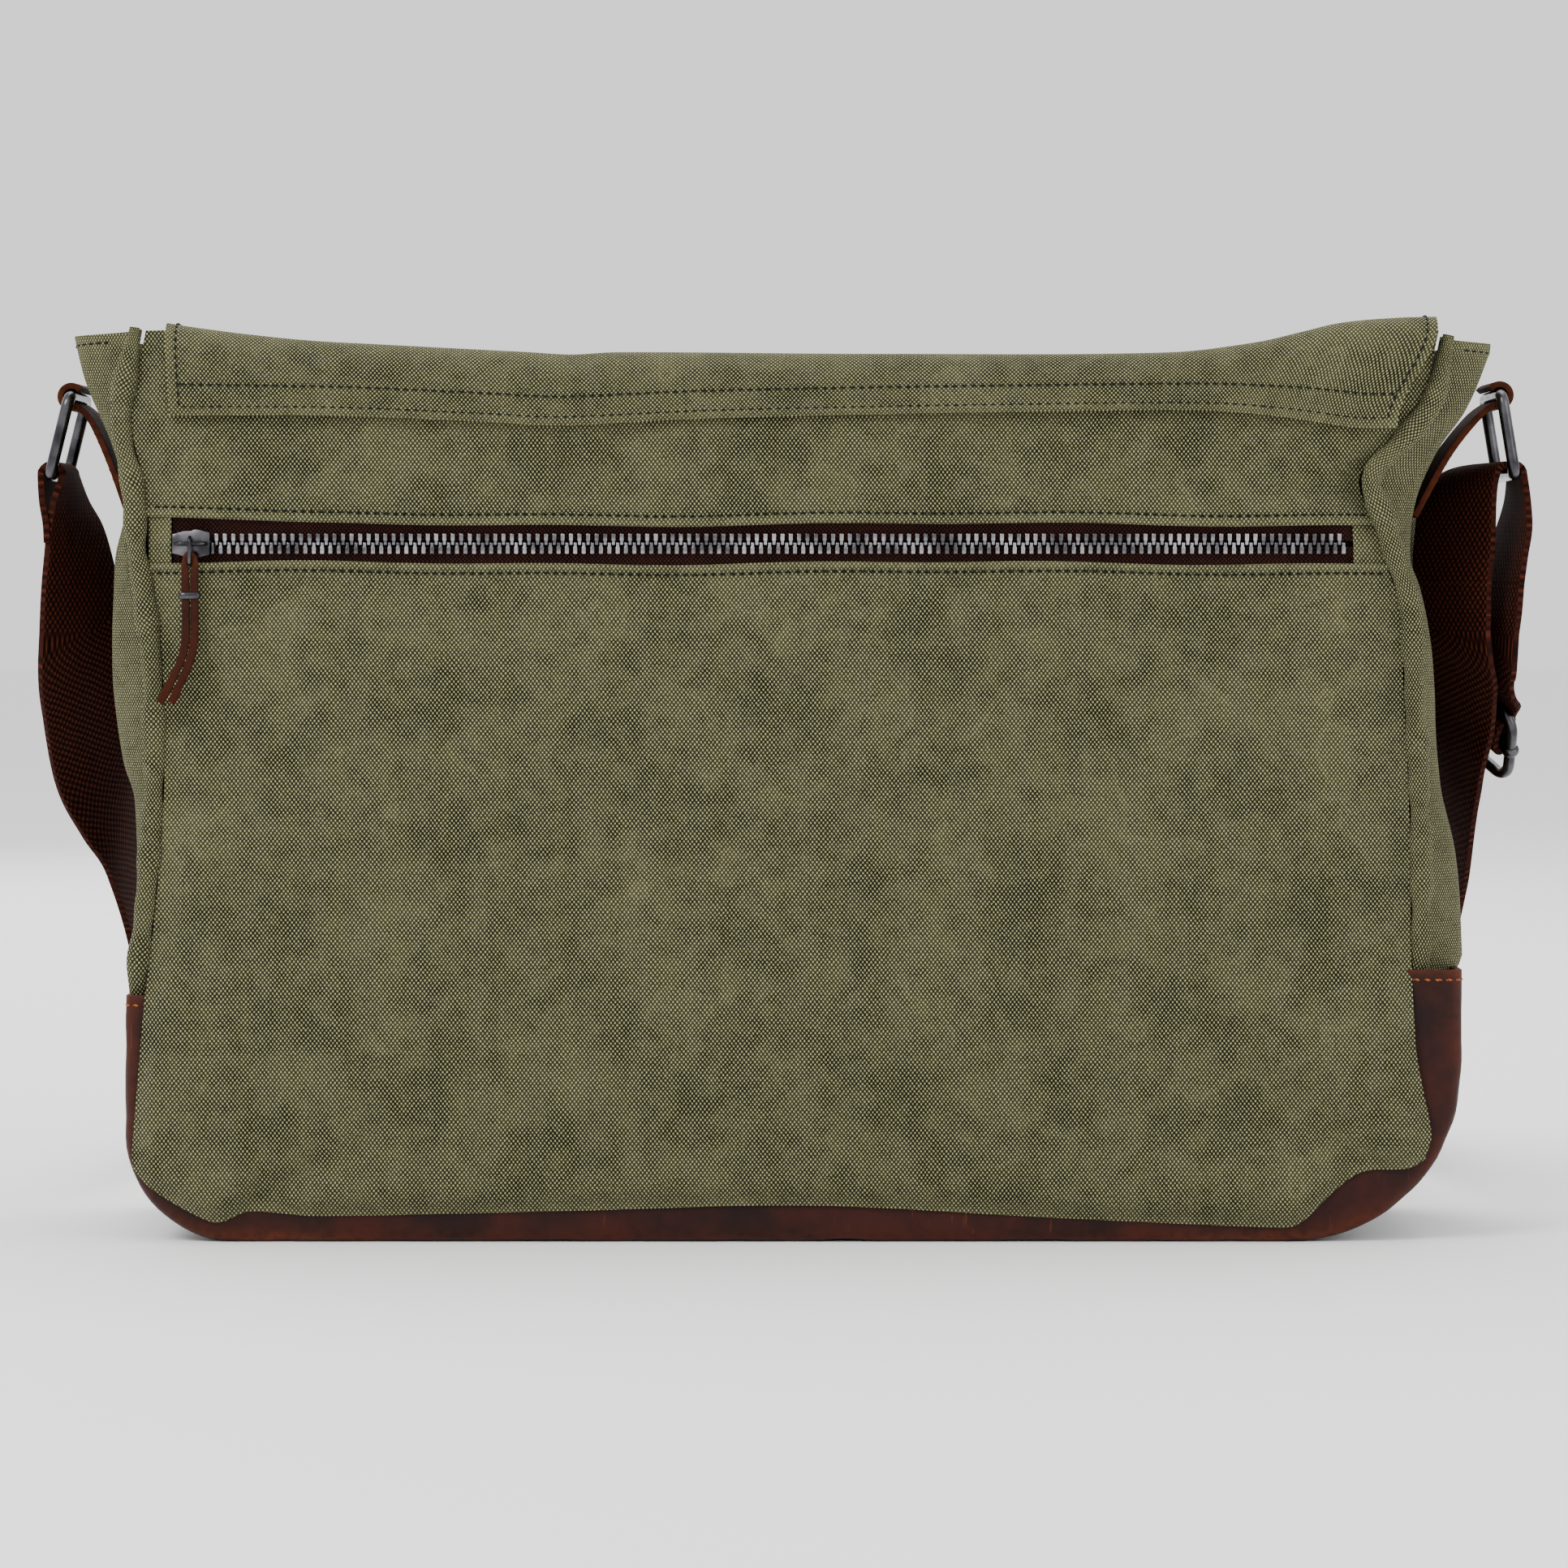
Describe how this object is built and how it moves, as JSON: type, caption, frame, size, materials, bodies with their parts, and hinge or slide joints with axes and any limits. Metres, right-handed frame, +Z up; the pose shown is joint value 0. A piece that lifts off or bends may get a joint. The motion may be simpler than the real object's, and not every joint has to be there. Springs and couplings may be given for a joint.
{
  "type": "messenger bag",
  "caption": "Canvas messenger bag with a leather base, a zipped back pocket, a lift-over flap and a webbing shoulder strap on wire rings.",
  "frame": {"origin": "middle of the flat underside of the leather base, on the surface that the bag stands on", "axes": "+X along the bag's width, to the right when looking at its zipped back; +Y from the back to the flap side; +Z up"},
  "size_m": [0.4882, 0.3695, 0.284],
  "materials": {
    "canvas": "washed heavy cotton canvas, olive",
    "lining": "plain cotton lining",
    "leather": "waxed pull-up leather, dark brown",
    "webbing": "heavy cotton webbing, dark brown",
    "zip_tape": "woven zip tape, brown",
    "gunmetal": "polished dark nickel plate",
    "board": "stiffening board"
  },
  "bodies": {
    "root": {"leather_base": "leather", "base_board": "board", "back_pocket_panel": "canvas", "back_panel_upper": "canvas", "zip_end_patch_left": "canvas", "zip_end_patch_right": "canvas", "front_panel": "canvas", "gusset_left": "canvas", "gusset_right": "canvas", "corner_seam_back_left": "canvas", "corner_seam_back_right": "canvas", "corner_seam_front_left": "canvas", "corner_seam_front_right": "canvas", "zip_tape_upper": "zip_tape", "zip_tape_lower": "zip_tape", "zip_teeth_upper": "gunmetal", "zip_teeth_lower": "gunmetal", "back_pocket_lining": "lining", "main_lining": "lining", "mouth_facing_front": "canvas", "mouth_facing_back": "canvas", "flap_hem": "canvas", "strap_tab_left": "leather", "strap_tab_right": "leather", "snap_socket_left": "gunmetal", "snap_socket_right": "gunmetal"},
    "flap_top": {"flap_top": "canvas"},
    "flap_front": {"flap_front": "canvas", "flap_lining": "lining", "snap_stud_left": "gunmetal", "snap_stud_right": "gunmetal"},
    "slider": {"zip_slider": "gunmetal"},
    "pull_ring": {"pull_ring": "gunmetal"},
    "pull_lace": {"pull_lace": "leather", "pull_crimp": "gunmetal"},
    "ring_left": {"ring_left": "gunmetal", "strap_end_left": "webbing"},
    "ring_right": {"ring_right": "gunmetal", "strap_end_right": "webbing"},
    "strap": {"strap_left": "webbing", "strap_right": "webbing", "strap_across": "webbing", "strap_return": "webbing"},
    "adjuster": {"adjuster_frame": "gunmetal", "adjuster_bar": "gunmetal", "strap_end_adjuster": "webbing"}
  },
  "joints": [
    {"name": "flap_lift", "type": "hinge", "parent": "root", "child": "flap_top", "pos_m": [0, -0.04691, 0.283], "axis": [1, 0, 0], "range_deg": [0, 230]},
    {"name": "flap_unfold", "type": "hinge", "parent": "flap_top", "child": "flap_front", "pos_m": [0, 0.04898, 0.283], "axis": [1, 0, 0], "range_deg": [0, 90]},
    {"name": "zip_slide", "type": "slide", "parent": "root", "child": "slider", "axis": [1, 0, 0], "range_m": [0, 0.357]},
    {"name": "pull_hinge", "type": "hinge", "parent": "slider", "child": "pull_ring", "pos_m": [-0.18895, -0.05103, 0.219], "axis": [-1, 0, 0], "range_deg": [0, 170]},
    {"name": "lace_sway", "type": "hinge", "parent": "pull_ring", "child": "pull_lace", "pos_m": [-0.18895, -0.05103, 0.2125], "axis": [0, 1, 0], "range_deg": [-60, 60]},
    {"name": "ring_left_swing", "type": "hinge", "parent": "root", "child": "ring_left", "pos_m": [-0.23, 0, 0.266], "axis": [0, 1, 0], "range_deg": [-8, 60]},
    {"name": "ring_right_swing", "type": "hinge", "parent": "root", "child": "ring_right", "pos_m": [0.225, 0, 0.2665], "axis": [0, -1, 0], "range_deg": [-8, 60]},
    {"name": "strap_swing", "type": "hinge", "parent": "root", "child": "strap", "pos_m": [0, 0, 0.196], "axis": [1, 0, 0], "range_deg": [0, 70]},
    {"name": "adjuster_slide", "type": "slide", "parent": "strap", "child": "adjuster", "axis": [0, 0.6, -0.8], "range_m": [0, 0.025]}
  ],
  "couplings": [
    {"joint": "flap_unfold", "follows": "flap_lift", "ratio": 0.3913}
  ]
}
